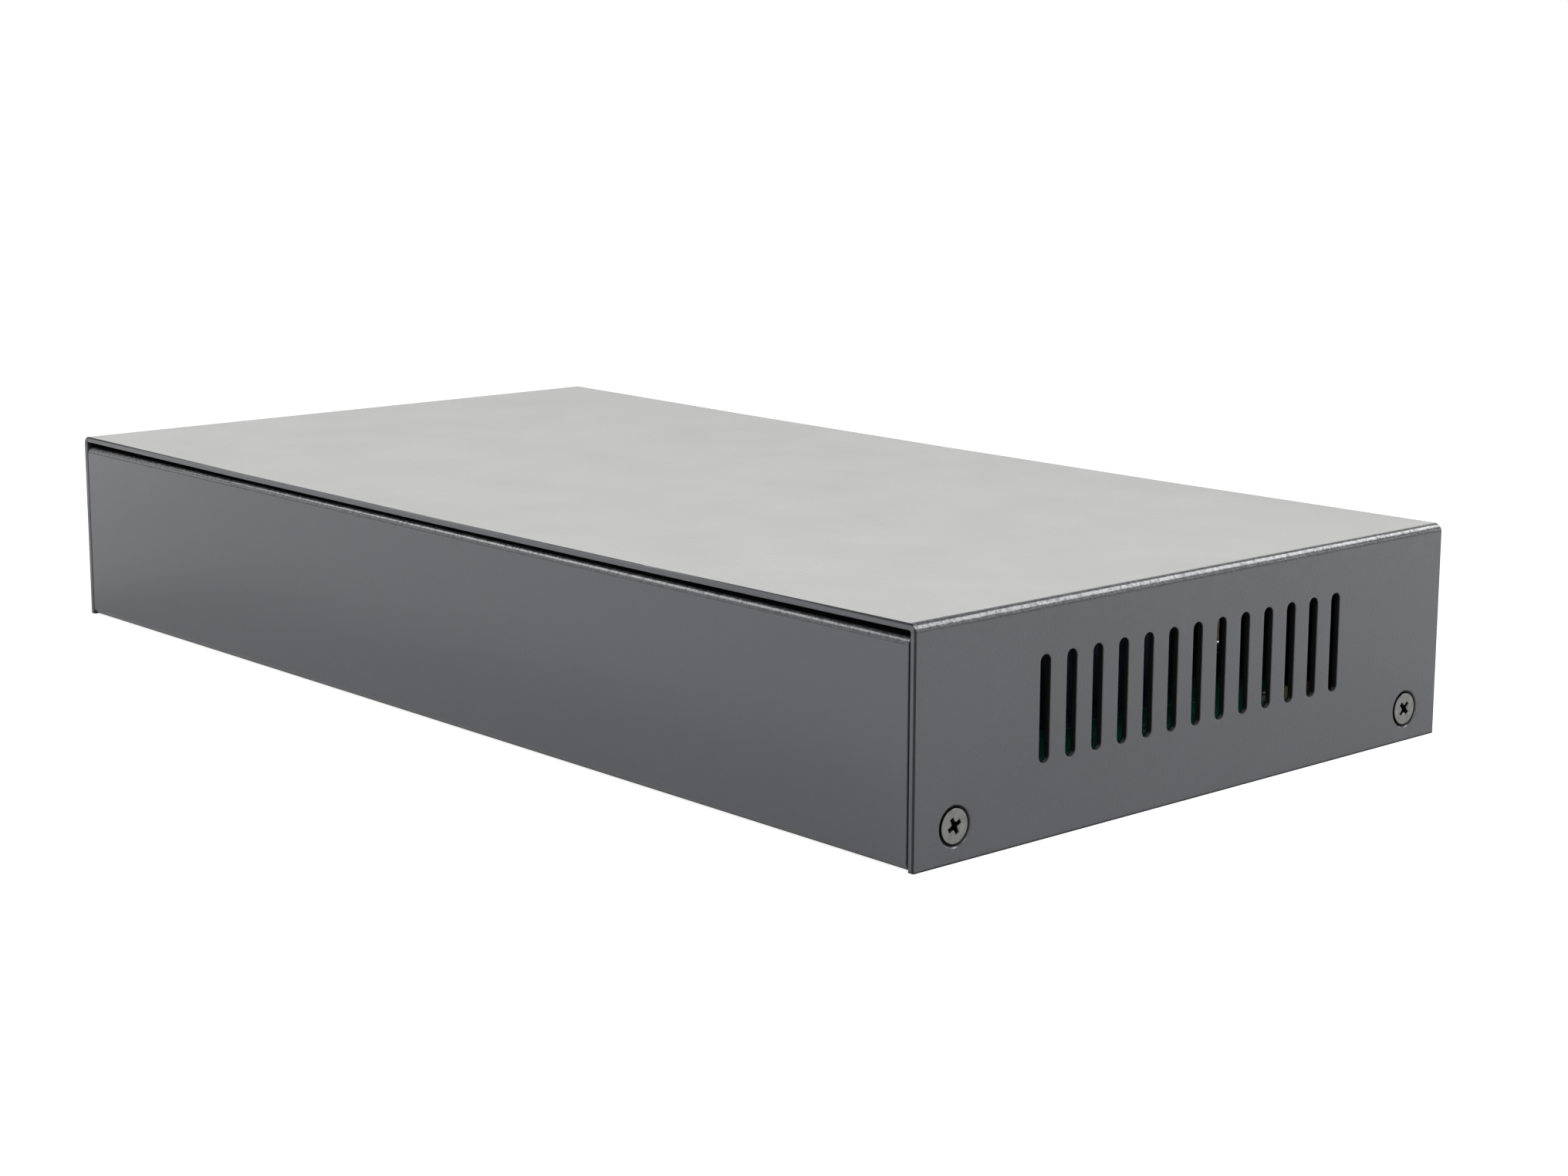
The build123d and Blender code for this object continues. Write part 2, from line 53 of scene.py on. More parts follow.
CASE_LOW, CASE_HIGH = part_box("top_cover")
MM = 0.001

WHITE = (1.0, 1.0, 1.0)

# Painted shade: a near black put on hidden faces and cut walls, where hardly any light reaches
PAINTED_SHADE_BLACK = (0.003, 0.003, 0.003)

# How far the floor reaches in under the case, whose underside is open to view from below
FLOOR_OVERLAP = 3 * MM

# Depth of the rear wall's top under the top of the lid
WALL_TOP_DEPTH = 2.1 * MM

# The board's parts that are moulded in black resin
RESIN_PARTS = (
    "switch_chip",
    "port_transformers",
    "poe_controllers",
    "port_mosfets",
    "flash_memory",
)

# Each lamp's place, its size and its share of the lamps' power
LAMPS = {
    "key_lamp": ((-0.55, 0.45, 1.20), (0.70, 0.70), 1.0),
    "left_lamp": ((-0.85, 0.15, 0.66), (0.45, 0.45), 0.30),
    "front_lamp": ((-0.40, -0.82, 0.76), (0.86, 0.40), 1.6),
    "right_lamp": ((0.92, 0.54, 0.74), (0.50, 0.40), 0.68),
}


class PaintSettings(bpy.types.PropertyGroup):
    """The powder coat on the cover and the tray."""

    colour: FloatVectorProperty(
        name="Colour",
        description="Colour of the powder coat",
        subtype="COLOR",
        default=(0.059, 0.061, 0.069),
    )
    roughness: FloatProperty(
        name="Roughness",
        description="How matt the coat is",
        subtype="FACTOR", min=0, max=1,
        default=0.34,
    )
    gloss: FloatProperty(
        name="Gloss",
        description="Strength of the clear skin on the coat",
        subtype="FACTOR", min=0, max=1,
        default=1.0,
    )
    peel_size: FloatProperty(
        name="Peel Size",
        description="Width of one orange-peel dimple",
        unit="LENGTH",
        default=0.5 * MM,
    )
    peel_height: FloatProperty(
        name="Peel Height",
        description="Depth of the orange peel",
        unit="LENGTH",
        default=0.035 * MM,
    )
    edge: FloatProperty(
        name="Edge",
        description="How far the coat rounds off a cut edge",
        unit="LENGTH",
        default=0.35 * MM,
    )


class PartSettings(bpy.types.PropertyGroup):
    """The colours of the fasteners, the board and what it carries."""

    screw_colour: FloatVectorProperty(
        name="Cover Screws",
        description="Colour of the dark nickel plate",
        subtype="COLOR",
        default=(0.27, 0.27, 0.265),
    )
    zinc_colour: FloatVectorProperty(
        name="Zinc",
        description="Colour of the bright zinc plate",
        subtype="COLOR",
        default=(0.62, 0.63, 0.64),
    )
    mask_colour: FloatVectorProperty(
        name="Solder Mask",
        description="Colour of the board's mask",
        subtype="COLOR",
        default=(0.006, 0.150, 0.090),
    )
    laminate_colour: FloatVectorProperty(
        name="Laminate",
        description="Colour of the board's bare edge",
        subtype="COLOR",
        default=(0.42, 0.36, 0.17),
    )
    plastic_colour: FloatVectorProperty(
        name="Black Plastic",
        description="Colour of the moulded sockets",
        subtype="COLOR",
        default=(0.018, 0.018, 0.019),
    )
    nickel_colour: FloatVectorProperty(
        name="Nickel",
        description="Colour of the jack shells",
        subtype="COLOR",
        default=(0.66, 0.64, 0.60),
    )
    gold_colour: FloatVectorProperty(
        name="Gold",
        description="Colour of the contacts",
        subtype="COLOR",
        default=(0.83, 0.60, 0.22),
    )
    sleeve_colour: FloatVectorProperty(
        name="Sleeve",
        description="Colour of the capacitor sleeves",
        subtype="COLOR",
        default=(0.018, 0.022, 0.05),
    )


class PrintSettings(bpy.types.PropertyGroup):
    """The numbers printed over the ports."""

    size: FloatProperty(
        name="Size", description="Height of the type", unit="LENGTH", default=3.0 * MM
    )
    gap: FloatProperty(
        name="Gap", description="From a jack up to its number", unit="LENGTH", default=2.0 * MM
    )
    thickness: FloatProperty(
        name="Thickness", description="How thick the ink lies", unit="LENGTH", default=0.02 * MM
    )


class StageSettings(bpy.types.PropertyGroup):
    """The camera, the floor and the lamps."""

    azimuth: FloatProperty(
        name="Azimuth",
        description="Camera's turn about the upright",
        subtype="ANGLE",
        default=math.radians(227.791),
    )
    elevation: FloatProperty(
        name="Elevation",
        description="Camera's height as an angle",
        subtype="ANGLE",
        default=math.radians(10.612),
    )
    roll: FloatProperty(
        name="Roll",
        description="Camera's turn about its own line",
        subtype="ANGLE",
        default=math.radians(0.273),
    )
    distance: FloatProperty(
        name="Distance",
        description="From the camera to its target",
        unit="LENGTH",
        default=574.99 * MM,
    )
    target: FloatVectorProperty(
        name="Target",
        description="What the camera looks at",
        subtype="TRANSLATION",
        default=(4.84 * MM, -30.59 * MM, 19.0 * MM),
    )
    lens: FloatProperty(
        name="Lens", description="Focal length in millimetres over a 36 mm frame", default=65.0
    )
    shift_x: FloatProperty(
        name="Shift X", description="Sideways shift of the lens", default=-0.0125
    )
    shift_y: FloatProperty(name="Shift Y", description="Upward shift of the lens", default=-0.0242)
    floor_size: FloatProperty(
        name="Floor", description="Width of the white floor", unit="LENGTH", default=8.0
    )
    room_light: FloatProperty(
        name="Room Light", description="Strength of the light from all round", default=0.25
    )
    ceiling: FloatProperty(
        name="Ceiling",
        description="Brightness of the ceiling in reflections",
        subtype="FACTOR",
        default=0.15,
    )
    lamp_power: FloatProperty(
        name="Lamps",
        description="Power of the main soft lamp, which the others share",
        unit="POWER",
        default=5.5,
    )


class Varying:
    """A number that changes over a surface. Arithmetic on it adds Math nodes."""

    def __init__(self, finish, socket):
        self.finish = finish
        self.socket = socket

    def _sum(self, operation, *values):
        inputs = dict(enumerate(values))
        return self.finish.node("ShaderNodeMath", {"operation": operation}, inputs)[0]

    def __add__(self, other):
        return self._sum("ADD", self, other)

    def __radd__(self, other):
        return self._sum("ADD", other, self)

    def __sub__(self, other):
        return self._sum("SUBTRACT", self, other)

    def __rsub__(self, other):
        return self._sum("SUBTRACT", other, self)

    def __mul__(self, other):
        return self._sum("MULTIPLY", self, other)

    def __rmul__(self, other):
        return self._sum("MULTIPLY", other, self)

    def __truediv__(self, other):
        return self._sum("DIVIDE", self, other)

    def __mod__(self, other):
        return self._sum("FLOORED_MODULO", self, other)

    def __abs__(self):
        return self._sum("ABSOLUTE", self)

    def sine(self):
        return self._sum("SINE", self)

    def root(self):
        return self._sum("SQRT", self)

    def lesser(self, other):
        return self._sum("MINIMUM", self, other)

    def greater(self, other):
        return self._sum("MAXIMUM", self, other)

    def ramp(self, low, high):
        """0 up to low, 1 from high, and smooth between; it falls where low is above high."""
        inputs = {"Value": self, "From Min": low, "From Max": high}
        settings = {"interpolation_type": "SMOOTHSTEP"}
        return self.finish.node("ShaderNodeMapRange", settings, inputs)[0]


class Nodes:
    """A node tree, and the one way in which nodes are added to it."""

    def __init__(self, owner):
        owner.use_nodes = True
        self.tree = owner.node_tree
        self.tree.nodes.clear()

    def node(self, kind, settings, inputs):
        """A new node, given its type, its settings and the values or links of its sockets."""
        node = self.tree.nodes.new(kind)
        for name, value in settings.items():
            setattr(node, name, value)
        for name, value in inputs.items():
            if isinstance(value, Varying):
                self.tree.links.new(value.socket, node.inputs[name])
            else:
                node.inputs[name].default_value = value
        return Outputs(self, node)

    def parts(self, vector):
        """The x, y and z of a vector."""
        split = self.node("ShaderNodeSeparateXYZ", {}, {0: vector})
        return split[0], split[1], split[2]

    def mixed(self, share, first, second):
        """A colour between two others."""
        inputs = {0: share, 6: opaque(first), 7: opaque(second)}
        return self.node("ShaderNodeMix", {"data_type": "RGBA"}, inputs)[2]

    def seen_rays(self, mirrored):
        """1 for rays from the eye or through glass, and mirrored for rays off a glossy surface."""
        path = self.node("ShaderNodeLightPath", {}, {})
        direct = path["Is Camera Ray"] + path["Is Transmission Ray"]
        return (direct + path["Is Glossy Ray"] * mirrored).lesser(1.0)


class Finish(Nodes):
    """A material, with the patterns that make its surface."""

    def __init__(self, name):
        self.material = bpy.data.materials.new(name)
        super().__init__(self.material)
        self.place = self.node("ShaderNodeTexCoord", {}, {})["Object"]
        self.x, self.y, self.z = self.parts(self.place)

    def noise(self, size, detail=2.0, roughness=0.5, place=None):
        """Soft random patches about as wide as size, from 0 to 1."""
        inputs = {
            "Vector": place or self.place,
            "Scale": 1 / size,
            "Detail": detail,
            "Roughness": roughness,
        }
        return self.node("ShaderNodeTexNoise", {"noise_dimensions": "3D"}, inputs)[0]

    def cells(self, size):
        """Distance to the nearest of random points that lie about size apart."""
        inputs = {"Vector": self.place, "Scale": 1 / size}
        return self.node("ShaderNodeTexVoronoi", {"feature": "F1"}, inputs)["Distance"]

    def stretched(self, x, y, z):
        """The place on the object, scaled along each axis."""
        settings = {"operation": "MULTIPLY"}
        return self.node("ShaderNodeVectorMath", settings, {0: self.place, 1: (x, y, z)})[0]

    def facing(self):
        """The surface's own normal."""
        return self.node("ShaderNodeNewGeometry", {}, {})["Normal"]

    def rounded(self, radius):
        """The normal, with the mesh's sharp edges rounded off, as paint rounds them."""
        return self.node("ShaderNodeBevel", {"samples": 4}, {"Radius": radius})["Normal"]

    def bump(self, height, depth, below=None):
        """A normal bent by a height from 0 to 1 that stands for depth in metres."""
        inputs = {"Height": height, "Distance": depth, "Strength": 1.0}
        if below:
            inputs["Normal"] = below
        return self.node("ShaderNodeBump", {}, inputs)["Normal"]

    def surface(self, **sockets):
        """Ends the material in a Principled surface with the given sockets."""
        inputs = {name.replace("_", " ").title(): value for name, value in sockets.items()}
        inputs = {name.replace("Ior", "IOR"): value for name, value in inputs.items()}
        inputs["Base Color"] = opaque(inputs["Base Color"])
        shader = self.node("ShaderNodeBsdfPrincipled", {}, inputs)["BSDF"]
        self.node("ShaderNodeOutputMaterial", {}, {"Surface": shader})
        return self.material


class Outputs:
    """A node's outputs, by name or number."""

    def __init__(self, finish, node):
        self.finish = finish
        self.node = node

    def __getitem__(self, name):
        return Varying(self.finish, self.node.outputs[name])


def opaque(colour):
    """A colour with its alpha, or a link as it is."""
    if isinstance(colour, Varying):
        return colour
    return (*colour[:3], 1.0)


def lighter(colour, factor):
    """A colour, made lighter or darker."""
    return tuple(min(1.0, c * factor) for c in colour[:3])


def coat_node(name, material):
    """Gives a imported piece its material."""
    slots = frame["nodes"][name].material_slots
    if not slots:
        raise RuntimeError(f"{name} has no material slot")
    for slot in slots:
        slot.material = material


def screw_distance(finish):
    """How far a place is from the middle of the nearest cover screw's head."""
    low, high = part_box("cover_screws")
    head = (high.z - low.z) / 2
    across = abs(finish.y) - (high.y - head)
    up = finish.z - (low.z + head)
    return (across * across + up * up).root()


class CaseMasks:
    """Masks from 0 to 1: fold, under_fold, bare for a painted highlight on the cut-edge strips, and
    one for the painted shade on hidden faces, slot walls, screw grooves and corner edges.
    """

    def __init__(self, finish):
        half = (CASE_HIGH - CASE_LOW) / 2
        from_side = half.x - abs(finish.x)
        from_end = half.y - abs(finish.y)
        below_top = CASE_HIGH.z - finish.z
        from_top = below_top.lesser(finish.z)
        self.fold_masks(from_side, from_end, below_top)

        # Faces that look up are kept out of the painted shade, so that a slot's sill catches the
        # light
        upright = finish.parts(finish.facing())[2].ramp(0.7, 0.4)
        # Painted shade on the slots' cut walls, a little in from the outer face
        window = from_end.lesser(from_top).ramp(2.2 * MM, 3 * MM)
        slot_wall_shade = from_side.ramp(0.1 * MM, 0.22 * MM) * window * upright
        # Painted shade in the ring round each cover screw's head
        groove_shade = screw_distance(finish).ramp(3.5 * MM, 3.3 * MM)
        groove_shade = groove_shade * from_side.ramp(0.06 * MM, 0.2 * MM)

        # How far in from the nearest corner edge, where two outer faces meet
        meeting = from_side.greater(from_end)
        arris = meeting.lesser(from_side.greater(from_top)).lesser(from_end.greater(from_top))
        # Painted highlight: a lighter line along the middle of each cut-edge strip, away from its
        # corner edges
        self.bare = arris.ramp(0.3 * MM, 0.5 * MM) * from_end.ramp(0.12 * MM, 0.06 * MM)

        # Painted shade on every face more than the sheet's skin in from the outer faces
        skin = 0.7 * MM
        inside = from_side.lesser(from_end).lesser(from_top).ramp(skin, skin * 1.2)
        # A painted dark line right along the corner edges
        corner_shade = arris.ramp(0.34 * MM, 0.2 * MM) * 0.8
        self.dull = inside.greater(groove_shade).greater(slot_wall_shade).greater(corner_shade)

    def fold_masks(self, from_side, from_end, below_top):
        """The crumpled folds of the cover and the rear wall, and the strip under the cover's."""
        cover_fold = from_side.greater(below_top).ramp(1.6 * MM, 1.0 * MM)
        below_wall = below_top - WALL_TOP_DEPTH
        on_wall = from_side.ramp(1.4 * MM, 1.6 * MM) * below_wall.ramp(-0.3 * MM, -0.1 * MM)
        wall_fold = from_end.greater(below_wall).ramp(1.4 * MM, 0.8 * MM) * on_wall
        self.fold = cover_fold.greater(wall_fold)
        self.under_fold = below_top.ramp(10 * MM, 3 * MM) * from_side.ramp(1 * MM, 0.2 * MM)


def powder_coat(settings):
    """Charcoal powder coat: half gloss, with a fine orange peel."""
    finish = Finish("charcoal_powder_coat")
    cloud = finish.noise(90 * MM, 2)
    patch = finish.noise(14 * MM, 3)
    grain = finish.noise(0.45 * MM, 2)
    peel = finish.noise(settings.peel_size, 1.5, 0.55)
    crumple = finish.noise(0.8 * MM, 2.0, 0.6)
    wrinkle = finish.noise(1.0, 1, 0.5, finish.stretched(70, 130, 620))
    masks = CaseMasks(finish)
    fleck = crumple.ramp(0.5, 0.62) * masks.fold

    deep = lighter(settings.colour, 0.93)
    pale = lighter(settings.colour, 1.07)
    colour = finish.mixed(cloud.ramp(0.3, 0.7), deep, pale)
    colour = finish.mixed(patch.ramp(0.35, 0.75) * 0.25, colour, lighter(settings.colour, 1.18))
    colour = finish.mixed(grain.ramp(0.62, 0.8) * 0.22, colour, lighter(settings.colour, 1.9))
    colour = finish.mixed(grain.ramp(0.4, 0.25) * 0.35, colour, lighter(settings.colour, 0.6))
    # A painted highlight on the cut-edge strips
    colour = finish.mixed(masks.bare * 0.5, colour, lighter(settings.colour, 2.2))
    # Painted shade: near black on the hidden faces, the slot walls, the screw grooves and the
    # corner edges
    colour = finish.mixed(masks.dull, colour, PAINTED_SHADE_BLACK)
    roughness = settings.roughness + (patch - 0.5) * 0.08 + (cloud - 0.5) * 0.05 + masks.dull * 0.35

    # In peel heights, so a crumple on a fold is 15 times as deep as the peel
    height = peel + crumple * masks.fold * 15 + wrinkle * masks.under_fold * 6
    return finish.surface(
        base_color=colour,
        roughness=roughness,
        coat_weight=(settings.gloss - patch * 0.1 - fleck * 0.45) * (1 - masks.dull),
        coat_roughness=0.18,
        specular_ior_level=0.25,
        normal=finish.bump(height, settings.peel_height, finish.rounded(settings.edge)),
    )


def dark_nickel(settings):
    """Dark nickel plate on the cover screws, turned at the rim, with painted shade in the cross
    recess.
    """
    finish = Finish("dark_nickel_plate")
    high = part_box("cover_screws")[1]
    radius = screw_distance(finish)
    turning = (radius * (2 * math.pi / (0.16 * MM))).sine() * 0.5 + 0.5
    patina = finish.noise(1.2 * MM, 3)
    scratch = finish.noise(1.0, 2, 0.6, finish.stretched(900, 4200, 900))
    recess_shade = (high.x - abs(finish.x)).ramp(0.1 * MM, 0.35 * MM)
    tarnished = lighter(settings.screw_colour, 0.8)
    colour = finish.mixed(patina.ramp(0.35, 0.7), tarnished, settings.screw_colour)
    # Painted shade: near black down in the cross recess of the head
    colour = finish.mixed(recess_shade * 0.92, colour, (0.01, 0.01, 0.01))
    roughness = 0.27 + patina * 0.14 + scratch.ramp(0.55, 0.75) * 0.08 + recess_shade * 0.1
    height = turning * 0.5 + scratch * 0.5
    return finish.surface(
        base_color=colour,
        metallic=1.0,
        roughness=roughness,
        normal=finish.bump(height, 0.006 * MM, finish.rounded(0.22 * MM)),
    )


def zinc_plate(settings):
    """Bright zinc plate on the standoffs, the board screws and the power pin."""
    finish = Finish("bright_zinc_plate")
    bloom = finish.noise(2.5 * MM, 3)
    grain = finish.noise(0.3 * MM, 2)
    red, green, blue = settings.zinc_colour
    yellowed = lighter((red, green, blue * 0.9), 0.85)
    colour = finish.mixed(bloom.ramp(0.4, 0.7), settings.zinc_colour, yellowed)
    return finish.surface(
        base_color=colour,
        metallic=1.0,
        roughness=0.24 + bloom * 0.2 + grain * 0.06,
        normal=finish.bump(grain, 0.005 * MM),
    )


def circuit_board(settings):
    """Green solder mask over copper tracks, with tinned pads and a bare laminate edge."""
    finish = Finish("green_circuit_board")
    edge = 1 - abs(finish.parts(finish.facing())[2]).ramp(0.4, 0.6)
    bend = finish.noise(11 * MM, 1)
    lane = 1.1 * MM
    along_x = ((finish.y + bend * 3 * MM) % lane) / lane
    along_y = ((finish.x + bend * 3 * MM) % lane) / lane
    zone = finish.noise(17 * MM, 1)
    lines_x = abs(along_x - 0.5).ramp(0.22, 0.16) * zone.ramp(0.5, 0.52)
    lines_y = abs(along_y - 0.5).ramp(0.22, 0.16) * zone.ramp(0.44, 0.42)
    pour = finish.noise(26 * MM, 0).ramp(0.56, 0.565)
    copper = lines_x.greater(lines_y).greater(pour)
    vias = finish.cells(3.4 * MM)
    ring = vias.ramp(0.13, 0.11) * (1 - edge)
    hole = vias.ramp(0.06, 0.05)
    dust = finish.noise(6 * MM, 4)
    mask = finish.mixed(copper * 0.75, settings.mask_colour, lighter(settings.mask_colour, 2.3))
    mask = finish.mixed(dust * 0.03, mask, (0.3, 0.32, 0.28))
    face = finish.mixed(ring, mask, (0.55, 0.56, 0.53))
    # Painted shade: near black in the middle of each via ring, for the hole
    face = finish.mixed(ring * hole, face, (0.01, 0.012, 0.01))
    weave = ((finish.z * (2 * math.pi / (0.2 * MM))).sine() * 0.5 + 0.5) * 0.4
    laminate = finish.mixed(weave, settings.laminate_colour, lighter(settings.laminate_colour, 0.6))
    height = copper * 0.6 + ring * 0.4 - hole * ring
    return finish.surface(
        base_color=finish.mixed(edge, face, laminate),
        metallic=ring * (1 - hole) * 0.9,
        roughness=0.34 + dust * 0.14 + edge * 0.4,
        specular_ior_level=0.25,
        normal=finish.bump(height, 0.035 * MM),
    )


def black_moulding(settings):
    """Satin black moulding with a fine spark texture."""
    finish = Finish("black_moulding")
    spark = finish.noise(0.22 * MM, 3, 0.6)
    flow = finish.noise(1.0, 2, 0.5, finish.stretched(300, 60, 90))
    dust = finish.noise(3 * MM, 4)
    dark = lighter(settings.plastic_colour, 0.8)
    colour = finish.mixed(flow, dark, lighter(settings.plastic_colour, 1.5))
    colour = finish.mixed(dust.ramp(0.58, 0.8) * 0.06, colour, (0.35, 0.35, 0.34))
    return finish.surface(
        base_color=colour,
        roughness=0.4 + flow * 0.12 + spark * 0.06,
        normal=finish.bump(spark, 0.008 * MM),
    )


def nickel_shell(settings):
    """Nickel on stamped tin plate, with rolling lines, and painted shade in the case behind the
    wall.
    """
    finish = Finish("nickel_shell")
    rolled = finish.noise(1.0, 3, 0.6, finish.stretched(60, 1800, 2600))
    smear = finish.noise(7 * MM, 3)
    ripple = finish.noise(5 * MM, 1)
    behind = (finish.y - CASE_LOW.y).ramp(0.6 * MM, 1.2 * MM)
    dulled = lighter(settings.nickel_colour, 0.78)
    colour = finish.mixed(smear.ramp(0.4, 0.75), settings.nickel_colour, dulled)
    # Painted shade: the shells turn near black behind the front wall, where only the slots show
    # them
    colour = finish.mixed(behind, colour, lighter(settings.nickel_colour, 0.12))
    return finish.surface(
        base_color=colour,
        metallic=1.0,
        roughness=0.2 + smear * 0.18 + rolled * 0.08,
        normal=finish.bump(rolled * 0.3 + ripple * 0.7, 0.02 * MM),
    )


def gold_contact(settings):
    """Gold flash on the sprung contacts, worn where plugs wipe."""
    finish = Finish("gold_contact")
    wipe = finish.noise(1.0, 3, 0.6, finish.stretched(3000, 150, 3000))
    tint = finish.noise(1.5 * MM, 2)
    colour = finish.mixed(tint, settings.gold_colour, lighter(settings.gold_colour, 0.8))
    colour = finish.mixed(wipe.ramp(0.6, 0.8) * 0.4, colour, settings.nickel_colour)
    return finish.surface(
        base_color=colour,
        metallic=1.0,
        roughness=0.18 + wipe * 0.2,
        normal=finish.bump(wipe, 0.004 * MM),
    )


def clear_lens(name, tint):
    """An unlit lamp lens: milky inside, with mould flow."""
    finish = Finish(name)
    flow = finish.noise(1.6 * MM, 3)
    speck = finish.noise(0.25 * MM, 2)
    colour = finish.mixed(flow, tint, lighter(tint, 0.72))
    return finish.surface(
        base_color=colour,
        roughness=0.16 + flow * 0.14,
        transmission_weight=0.45,
        coat_weight=0.3,
        normal=finish.bump(speck, 0.003 * MM),
    )


def chip_resin():
    """Black moulding resin, lightly blasted, with glass filler showing."""
    finish = Finish("chip_resin")
    blast = finish.noise(0.12 * MM, 2, 0.7)
    filler = finish.cells(0.3 * MM)
    haze = finish.noise(4 * MM, 3)
    colour = finish.mixed(haze, (0.021, 0.021, 0.022), (0.038, 0.038, 0.040))
    colour = finish.mixed(filler.ramp(0.2, 0.12) * 0.3, colour, (0.16, 0.16, 0.17))
    return finish.surface(
        base_color=colour,
        roughness=0.5 + haze * 0.16,
        normal=finish.bump(blast, 0.012 * MM),
    )


def silicone_pad():
    """Grey-blue gap filler, soft and slightly tacky."""
    finish = Finish("silicone_pad")
    lumps = finish.noise(0.9 * MM, 3)
    fill = finish.noise(0.2 * MM, 2)
    colour = finish.mixed(lumps, (0.40, 0.46, 0.55), (0.52, 0.57, 0.64))
    return finish.surface(
        base_color=colour,
        roughness=0.62 + fill * 0.15,
        normal=finish.bump(lumps * 0.7 + fill * 0.3, 0.05 * MM),
    )


def anodised_aluminium():
    """Black anodised extrusion, with die lines along the fins and sawn ends."""
    finish = Finish("black_anodised_aluminium")
    facing = finish.parts(finish.facing())
    sawn = abs(facing[1]).ramp(0.6, 0.9)
    die = finish.noise(1.0, 3, 0.65, finish.stretched(5200, 45, 5200))
    saw = finish.noise(1.0, 3, 0.6, finish.stretched(350, 900, 6000))
    bloom = finish.noise(8 * MM, 3)
    colour = finish.mixed(bloom, (0.016, 0.016, 0.018), (0.036, 0.036, 0.042))
    colour = finish.mixed(sawn * 0.25, colour, (0.11, 0.11, 0.12))
    return finish.surface(
        base_color=colour,
        metallic=0.55,
        roughness=0.34 + die * 0.16 + sawn * 0.1,
        normal=finish.bump(die * (1 - sawn) + saw * sawn, 0.015 * MM),
    )


def capacitor_skin(settings):
    """Shrunk sleeve with a grey stripe, and the can's bare scored top."""
    finish = Finish("capacitor_sleeve")
    low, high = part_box("bulk_capacitors")
    diameter = high.x - low.x
    pitch = (high.y - low.y - diameter) / 2
    across = finish.x - (low.x + high.x) / 2
    along = ((finish.y - low.y) % pitch) - diameter / 2
    radius = (across * across + along * along).root()
    lid = (finish.z - high.z).ramp(-0.75 * MM, -0.65 * MM)
    lid = lid * radius.ramp(0.44 * diameter, 0.42 * diameter)
    score = abs(across).lesser(abs(along)).ramp(0.28 * MM, 0.16 * MM)
    score = score * radius.ramp(3.3 * MM, 3.0 * MM)
    stripe = (across - abs(along) * 1.6).ramp(0.5 * MM, 0.9 * MM) * (1 - lid)
    dash_pitch = 3.2
    dash = abs(((finish.z - low.z) % (dash_pitch * MM)) / MM - dash_pitch / 2).ramp(0.5, 0.4)
    dash = dash * abs(along).ramp(1.2 * MM, 1.0 * MM)
    wrap = finish.noise(1.0, 3, 0.5, finish.stretched(400, 400, 60))
    colour = finish.mixed(wrap, settings.sleeve_colour, lighter(settings.sleeve_colour, 1.6))
    colour = finish.mixed(stripe, colour, (0.12, 0.125, 0.14))
    colour = finish.mixed(stripe * dash, colour, settings.sleeve_colour)
    tin = finish.mixed(wrap, (0.34, 0.34, 0.34), (0.42, 0.42, 0.42))
    return finish.surface(
        base_color=finish.mixed(lid, colour, tin),
        metallic=lid,
        roughness=0.26 + wrap * 0.12 + lid * 0.06,
        normal=finish.bump(wrap * 0.1 + 1 - score * lid, 0.12 * MM),
    )


def pressed_ferrite():
    """Grey pressed powder with pits and pale flecks."""
    finish = Finish("pressed_ferrite")
    pit = finish.cells(0.35 * MM)
    fleck = finish.noise(0.3 * MM, 3, 0.7)
    cloud = finish.noise(5 * MM, 3)
    colour = finish.mixed(cloud, (0.050, 0.050, 0.052), (0.078, 0.077, 0.076))
    colour = finish.mixed(fleck.ramp(0.6, 0.72) * 0.5, colour, (0.2, 0.19, 0.18))
    return finish.surface(
        base_color=colour,
        roughness=0.58 + cloud * 0.15,
        normal=finish.bump(pit.ramp(0.05, 0.3) * 0.6 + fleck * 0.4, 0.03 * MM),
    )


def tinned_ceramic():
    """Brown fired ceramic with tinned end caps."""
    finish = Finish("tinned_ceramic")
    low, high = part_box("ceramic_capacitors")
    length = 3.2 * MM
    pitch = (high.y - low.y - length) / 2
    from_end = abs(((finish.y - low.y) % pitch) - length / 2)
    cap = from_end.ramp(1.02 * MM, 1.08 * MM)
    mottle = finish.noise(0.5 * MM, 3)
    colour = finish.mixed(mottle, (0.40, 0.32, 0.22), (0.52, 0.43, 0.31))
    tin = finish.mixed(mottle, (0.55, 0.54, 0.52), (0.70, 0.69, 0.67))
    return finish.surface(
        base_color=finish.mixed(cap, colour, tin),
        metallic=cap,
        roughness=0.42 - cap * 0.12 + mottle * 0.1,
        normal=finish.bump(cap * 0.6 + mottle * 0.4, 0.03 * MM),
    )


def brushed_can():
    """Drawn nickel can of the clock crystal."""
    finish = Finish("drawn_can")
    drawn = finish.noise(1.0, 3, 0.6, finish.stretched(300, 300, 2200))
    smear = finish.noise(3 * MM, 2)
    colour = finish.mixed(smear, (0.66, 0.65, 0.63), (0.50, 0.49, 0.47))
    return finish.surface(
        base_color=colour,
        metallic=1.0,
        roughness=0.22 + smear * 0.16,
        normal=finish.bump(drawn, 0.008 * MM),
    )


